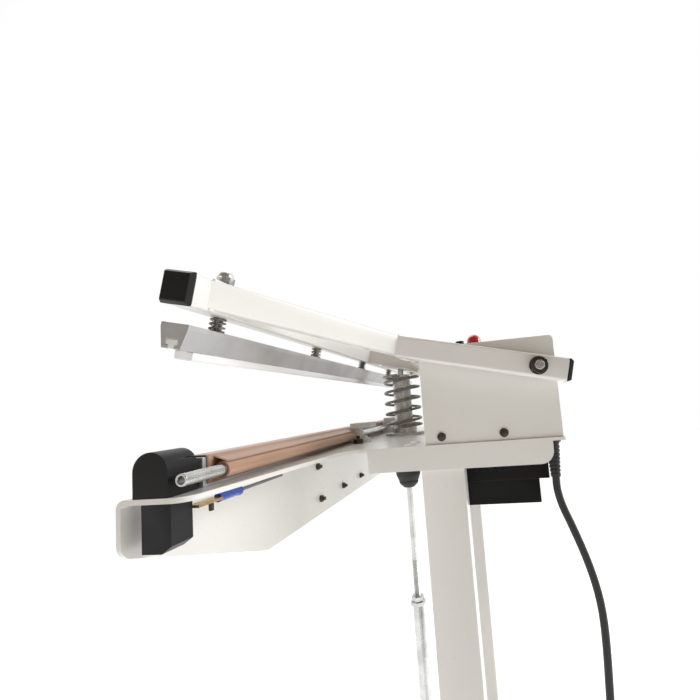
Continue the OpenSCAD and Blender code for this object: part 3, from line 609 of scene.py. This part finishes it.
def cross_head_mesh(radius, height):
    """A pan head with a cross recess, pointing up."""
    bm = bmesh.new()
    profile = [(radius, 0)]
    profile += [(radius * cos(radians(a)), height * (0.35 + 0.65 * sin(radians(a))))
                for a in (0, 15, 30, 45, 60, 75, 88)]
    lathed(bm, profile, (0, 0, 0), sides=32)
    head = bpy.data.objects.new("head", finish_mesh(bm, "head", 40))
    cutter_mesh = bmesh.new()
    for turn in (0, 90):
        shape = Matrix.Rotation(radians(turn), 4, "Z")
        shape = Matrix.Translation((0, 0, height * MM)) @ shape
        shape = shape @ Matrix.Diagonal((radius * 1.15 * MM, radius * 0.28 * MM, height * MM, 1))
        bmesh.ops.create_cube(cutter_mesh, size=1, matrix=shape)
    cutter = bpy.data.objects.new("cutter", bpy.data.meshes.new("cutter"))
    cutter_mesh.to_mesh(cutter.data)
    cutter_mesh.free()
    for thing in (head, cutter):
        bpy.context.scene.collection.objects.link(thing)
    cut = head.modifiers.new("recess", "BOOLEAN")
    cut.object = cutter
    cut.operation = "DIFFERENCE"
    cut.solver = "EXACT"
    cut.use_self = True
    bpy.context.view_layer.update()
    result = bpy.data.meshes.new_from_object(head.evaluated_get(bpy.context.evaluated_depsgraph_get()))
    for thing in (head, cutter):
        bpy.data.objects.remove(thing)
    return result


def panel_screws():
    """Cross recessed screws through the web and in the box sides, each with its nut behind."""
    dressed("panel_screws", 0.25)
    head = cross_head_mesh(4.1, 2.4)
    bm = bmesh.new()
    web = low("bed_plate").y
    web_places = [(x, BED - 59) for x in (-110, -37, 37, 110)] + [(x, BED - 22) for x in (-115, 115)]
    for x, z in web_places:
        turn = Matrix.Translation(Vector((x, web, z)) * MM) @ Matrix.Rotation(radians(90), 4, "X")
        spin = Matrix.Rotation(random.uniform(0, pi), 4, "Z")
        add_copy(bm, head, turn @ spin)
    side = high("box_side_right").x
    for sx in (-1, 1):
        for y in (low("box_cover").y + 16, 54):
            turn = Matrix.Translation(Vector((sx * side, y, BED + 7)) * MM)
            turn = turn @ Matrix.Rotation(radians(90 * sx), 4, "Y")
            spin = Matrix.Rotation(random.uniform(0, pi), 4, "Z")
            add_copy(bm, head, turn @ spin)
    piece("screw_heads", finish_mesh(bm, "screw_heads", 40), "stand", "dark_steel")


def add_copy(bm, mesh, matrix):
    start = len(bm.verts)
    bm.from_mesh(mesh)
    bm.verts.ensure_lookup_table()
    for vert in bm.verts[start:]:
        vert.co = matrix @ vert.co


# ---- welds ----
def bead(bm, start, end, radius, matrix=Matrix.Identity(4)):
    """A painted weld bead with a ripple along it."""
    a, b = Vector(start), Vector(end)
    count = max(8, int((b - a).length / 0.55))
    path = [matrix @ (a.lerp(b, i / count) * MM) for i in range(count + 1)]

    def size(i):
        edge = min(1, min(i, count - i) / 2 + 0.25)
        return radius * MM * (0.86 + 0.14 * abs(sin(i * 0.55 * 1.3))) * edge

    swept(bm, path, size, 8)


def welds():
    bm = bmesh.new()
    x_in, x_out = 181, 201
    front, back = -127.5, -211
    slope = 1 / 0.57735
    run = (front - back) * slope
    under, over = -8.2, 9.6
    for sx in (-1, 1):
        for z in (over, under):
            bead(bm, (sx * (x_in + 1), front, z), (sx * (x_out - 1), front, z), 1.5, ARM)
            bead(bm, (sx * (x_out + run - 35), back, z), (sx * (x_out + run - 1), back, z), 1.5, ARM)
        bead(bm, (sx * x_in, front + 0.5, -9.5), (sx * x_in, front + 11, -9.5), 1.4, ARM)
    for sx in (-1, 1):
        bead(bm, (sx * 10, back, -9), (sx * 10, back, 9), 1.4, ARM)
        bead(bm, (sx * 10, front, -9), (sx * 10, front, 9), 1.4, ARM)
    piece("arm_welds", finish_mesh(bm, "arm_welds", 60), "arm", "cream_paint")
    bm = bmesh.new()
    for node in ("post_left", "post_right"):
        c = middle(node)
        top = high(node).z - 4
        foot = low(node).z
        for z in (top, foot):
            for dx, dy in ((1, 0), (-1, 0), (0, 1), (0, -1)):
                a = (c.x + 20 * dx - 17 * dy, c.y + 20 * dy - 17 * dx, z)
                b = (c.x + 20 * dx + 17 * dy, c.y + 20 * dy + 17 * dx, z)
                bead(bm, a, b, 1.6)
    piece("stand_welds", finish_mesh(bm, "stand_welds", 60), "stand", "cream_paint")


# ---- sealing cloth and its rolls ----
def cloth_section():
    """Points (y, z) over the lower bar, from its front skirt to its rear skirt."""
    box_low, box_high = low("ptfe_cloth"), high("ptfe_cloth")
    y0, y1 = box_low.y + 0.15, box_high.y - 0.15
    z0, z1 = box_low.z, box_high.z - 0.25
    points = [(y0, z0 + (z1 - 1.6 - z0) * i / 5) for i in range(6)]
    points += [(y0 + 1.6 - 1.6 * cos(radians(a)), z1 - 1.6 + 1.6 * sin(radians(a)))
               for a in (22, 45, 68)]
    points += [(y0 + 1.6 + (y1 - y0 - 3.2) * i / 6, z1) for i in range(7)]
    points += [(y1 - 1.6 + 1.6 * sin(radians(a)), z1 - 1.6 + 1.6 * cos(radians(a)))
               for a in (22, 45, 68)]
    points += [(y1, z1 - 1.6 - (z1 - 1.6 - z0) * i / 5) for i in range(6)]
    return points


def cloth_sheet(name, section, x0, x1, wave, nodes=()):
    """A thin cloth swept along X, slack by up to wave millimetres away from what it lies on."""
    count = int((x1 - x0) / 4)
    bm = bmesh.new()
    rings = []
    for i in range(count + 1):
        x = x0 + (x1 - x0) * i / count
        ring = []
        for k, (y, z) in enumerate(section):
            share = k / (len(section) - 1)
            ripple = sin(x * 0.061 + 2.1 * share) * sin(x * 0.023 + 0.7) + 0.4 * sin(x * 0.19 + 5 * share)
            lift = wave * (0.5 + 0.36 * ripple)
            ring.append(Vector((x, y + lift * 0.25 * (1 if share > 0.5 else -1), z + lift * 0.3)) * MM)
        rings.append(ring)
    grid_mesh(bm, rings, closed_ring=False, caps=False)
    area = sum(f.calc_area() for f in bm.faces)
    made = piece(name, finish_mesh(bm, name, 70), "stand", "ptfe_cloth", nodes)
    thick = made.modifiers.new("thickness", "SOLIDIFY")
    thick.thickness = 0.2 * MM
    thick.offset = 1


def cloth_bridges(roll, roll_x):
    """The two strips of cloth from the lower bar to the windings."""
    top = high("ptfe_cloth")
    r = 5.25
    bridge = [(top.y + 0.1, top.z - 1.4), (top.y + 0.7, top.z - 2.2)]
    touch = (roll.y + r * cos(radians(58)), roll.z + r * sin(radians(58)) + 0.1)
    bridge += [(bridge[1][0] + (touch[0] - bridge[1][0]) * t, bridge[1][1] + (touch[1] - bridge[1][1]) * t)
               for t in (0.25, 0.5, 0.75, 1)]
    for sx in (-1, 1):
        x0, x1 = sorted((sx * 89, sx * (roll_x - 1)))
        cloth_sheet("cloth_to_roll_%s" % ("left" if sx < 0 else "right"), bridge, x0, x1, 0.4)


def cloth_windings(roll, roll_x):
    """The cloth wound in a spiral on the roll's rod."""
    bm = bmesh.new()
    for sx in (-1, 1):
        turns, steps, thick = 5, 22, 0.27
        outer, inner = [], []
        for i in range(turns * steps + 1):
            a = 2 * pi * i / steps
            r = 3.55 + thick * i / steps
            outer.append((r + thick * 0.8, a))
            inner.append((r, a))
        outline = outer + list(reversed(inner))
        x0, x1 = sorted((sx * 88, sx * roll_x))
        rings = [[Vector((x, roll.y + q * cos(a), roll.z + q * sin(a))) * MM for q, a in outline]
                 for x in (x0, x1)]
        rows = grid_mesh(bm, rings, caps=False)
        count = len(outer)
        for row in rows:
            for i in range(count - 1):
                bm.faces.new((row[i], row[i + 1], row[2 * count - 2 - i], row[2 * count - 1 - i]))
    piece("cloth_windings", finish_mesh(bm, "cloth_windings", 50), "cloth_spool", "ptfe_cloth",
          ("cloth_roll",))


def cloths():
    cloth_sheet("cloth_over_bar", cloth_section(), low("ptfe_cloth").x, high("ptfe_cloth").x, 0.5,
                ("ptfe_cloth",))
    roll = middle("roll_rod")
    roll_x = high("cloth_roll").x
    cloth_bridges(roll, roll_x)
    cloth_windings(roll, roll_x)


# ---- moulded and turned pieces ----
def rod_buffer():
    z0 = low("rod_buffer").z
    profile = [(4.3, z0), (7.4, z0), (8, z0 + 0.6), (9.4, z0 + 2), (12, z0 + 4.2), (13, z0 + 6.4)]
    profile += [(13.4, z0 + 8), (12.9, z0 + 8.8), (13.9, z0 + 9.8), (16, z0 + 15.4), (16.6, z0 + 17),
                (17.9, z0 + 33), (17.5, z0 + 34), (17.9, z0 + 35), (18, z0 + 41), (17.3, z0 + 42),
                (13, z0 + 42), (12.6, z0 + 41)]
    bm = bmesh.new()
    lathed(bm, profile, (0, ROD_Y, 0))
    piece("rod_buffer_cup", finish_mesh(bm, "rod_buffer_cup", 28), "pull_rod", "black_rubber",
          ("rod_buffer",))


def timer_knob():
    c = middle("timer_knob")
    z0 = low("dial_plate").z + 1.6
    bm = bmesh.new()
    sides = 96
    rings = []
    for r, z, flute in ((10.5, 0, 0), (12, 0.6, 0), (11.3, 3.6, 0), (10.4, 4.2, 0), (9.5, 4.6, 0.5),
                        (8.9, 14.2, 0.5), (8.3, 15, 0.2), (7.2, 15.2, 0), (6.9, 14.9, 0)):
        ring = []
        for k in range(sides):
            a = 2 * pi * k / sides
            reach = r - flute * (0.5 + 0.5 * cos(24 * 2 * pi * k / sides))
            ring.append(Vector((c.x + reach * cos(a), c.y + reach * sin(a), z0 + z)) * MM)
        rings.append(ring)
    grid_mesh(bm, rings)
    piece("timer_knob_grip", finish_mesh(bm, "timer_knob_grip", 40), "timer_knob", "black_plastic",
          ("timer_knob",))
    bm = bmesh.new()
    shape = Matrix.Translation(Vector((c.x, c.y + 4.4, z0 + 15.1)) * MM)
    bmesh.ops.create_cube(bm, size=1, matrix=shape @ Matrix.Diagonal((0.0012, 0.007, 0.0006, 1)))
    mark = piece("knob_mark", finish_mesh(bm, "knob_mark"), "timer_knob", "black_plastic", paint=MARK)
    soften(mark, 0.15)


def dial_ticks():
    """Raised marks round the timer's dial."""
    c, z = middle("dial_plate"), high("dial_plate").z
    dressed("dial_plate", 0.25)
    bm = bmesh.new()
    for i in range(11):
        a = radians(240 - 30 * i)
        long = 3.6 if i % 5 == 0 else 2.2
        turn = Matrix.Translation(Vector((c.x, c.y, z + 0.05)) * MM) @ Matrix.Rotation(a, 4, "Z")
        turn = turn @ Matrix.Translation((0.0165, 0, 0))
        bmesh.ops.create_cube(bm, size=1, matrix=turn @ Matrix.Diagonal((long * MM, 0.0007, 0.0003, 1)))
    piece("dial_ticks", finish_mesh(bm, "dial_ticks"), "stand", "black_plastic")


def wire_clips():
    made = dressed("wire_clips", 0.2)
    steel = MATERIALS["dark_steel"]

    def choose(size):
        if 5 < size[1] < 6:
            return BLUE
        if size[0] > 50:
            return LEAD
        return steel if size[0] < 4 else None

    paint_parts(made, choose)
    flare = bmesh.new()
    for sx in (-1, 1):
        x = sx * (high("wire_clips").x - 41.5)
        at = Vector((x, middle("wire_clips").y, BED - 9.5)) * MM
        turn = Matrix.Translation(at) @ Matrix.Rotation(radians(-90 * sx), 4, "Y")
        lathed(flare, [(2.6, -2), (3.0, -1), (3.35, 1.5), (3.35, 2.2), (2.2, 2.2)], (0, 0, 0), turn, 24)
    piece("crimp_flares", finish_mesh(flare, "crimp_flares", 30), "stand", "brass", paint=BLUE)


def housing_details():
    """Screws and louvres on the black box under the bed."""
    dressed("transformer_housing", 1.5)
    head = cross_head_mesh(3.4, 2)
    bm = bmesh.new()
    box_low, box_high = low("transformer_housing"), high("transformer_housing")
    for sx in (-1, 1):
        for y in (box_low.y + 12, box_high.y - 12):
            turn = Matrix.Translation(Vector((sx * box_high.x, y, BED - 14)) * MM)
            add_copy(bm, head, turn @ Matrix.Rotation(radians(90 * sx), 4, "Y"))
    piece("housing_screws", finish_mesh(bm, "housing_screws", 40), "stand", "dark_steel")
    bm = bmesh.new()
    for sx in (-1, 1):
        for i in range(6):
            at = Matrix.Translation(Vector((sx * (box_high.x - 0.2), 14 + 8 * i, BED - 26)) * MM)
            turn = at @ Matrix.Diagonal((0.0022, 0.0036, 0.020, 1))
            bmesh.ops.create_cube(bm, size=1, matrix=turn)
    slats = piece("housing_louvres", finish_mesh(bm, "housing_louvres"), "stand", "black_paint")
    soften(slats, 0.9, 3)


# ---- everything else keeps its CAD shape with worked edges ----
EDGES = {"bed_plate": 1.0, "post_left": 0.5, "post_right": 0.5, "end_block_left": 1.3,
         "end_block_right": 1.3, "pressure_bar": 0.5, "rubber_strip": 0.6, "lower_bar": 0.6,
         "tube_caps": 0.6, "runner_caps": 1.2, "rubber_feet": 1.0, "pedal_frame": 0.5,
         "pedal_pad": 0.45, "heater_strip": 0, "roll_rod": 0.3, "box_cover": 0.3,
         "box_side_left": 0.35, "box_side_right": 0.35, "lamp_lens": 0.2, "guide_screws": 0.3,
         "power_button": 0.8, "pivot_shaft": 0.6, "roll_saddles": 0.6, "button_bezel": 0.4}
CORNERS = {"front_tube": 2.0, "lever_left": 2.0, "lever_right": 2.0, "arm_braces": 1.4,
           "arm_ties": 1.2, "post_left": 2.5, "post_right": 2.5, "runner_left": 2.5,
           "runner_right": 2.5, "rear_cross_tube": 2.2}


def carried_over():
    done = {n for o in bpy.data.objects for n in o.get("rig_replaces", [])}
    for node in sorted(NODES):
        if node in done:
            continue
        made = dressed(node, EDGES.get(node, 0.35), CORNERS.get(node, 0))
        if node == "roll_saddles":
            dark = MATERIALS["dark_steel"]
            paint_parts(made, lambda size: dark if size[0] < 13 else None)
        if node == "limit_switch":
            zinc = MATERIALS["zinc_steel"]
            paint_parts(made, lambda size: zinc if size[0] > 13 or size[0] < 2 else None)
        if node == "timer_board":
            dark = MATERIALS["black_plastic"]
            paint_parts(made, lambda size: dark if size[2] > 5 else None)


camera()
studio()
strain_relief()
mains_cord()
return_spring()
pressure_springs()
threads()
panel_screws()
welds()
cloths()
rod_buffer()
timer_knob()
dial_ticks()
wire_clips()
housing_details()
carried_over()
bpy.context.view_layer.update()
